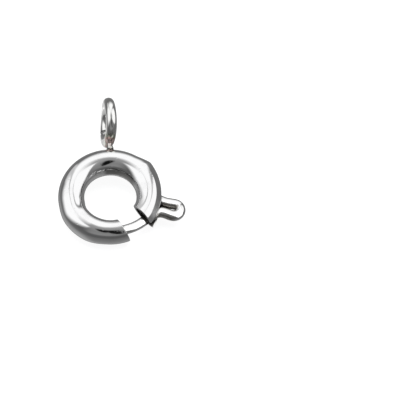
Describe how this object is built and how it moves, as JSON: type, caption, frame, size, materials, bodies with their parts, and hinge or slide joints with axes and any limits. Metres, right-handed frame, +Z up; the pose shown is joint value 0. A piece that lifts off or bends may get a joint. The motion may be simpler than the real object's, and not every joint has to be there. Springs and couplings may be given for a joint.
{
  "type": "spring ring clasp",
  "caption": "Round spring ring clasp of bent tube with a sprung tongue drawn back by a looped thumb lever, and a soldered end ring on a short neck.",
  "frame": {"origin": "centre of the clasp's ring, on the tube's centreline plane", "axes": "+Y towards the end ring, +X towards the thumb lever, +Z up from the table the clasp rests on"},
  "size_m": [0.0073, 0.0092, 0.0029],
  "materials": {
    "polished_steel": "polished",
    "wire_steel": "polished",
    "spring_steel": "gloss"
  },
  "bodies": {
    "ring": {"ring_body": "polished_steel", "spring": "spring_steel"},
    "tongue": {"tongue": "wire_steel"}
  },
  "joints": [
    {"name": "tongue_slide", "type": "hinge", "parent": "ring", "child": "tongue", "pos_m": [0, 0, 0], "axis": [0, -0.1006, 0.9949], "range_deg": [0, 41], "stiffness_Nm_per_rad": 0.0018, "springref_deg": -25.21, "deforming": ["spring"]}
  ]
}
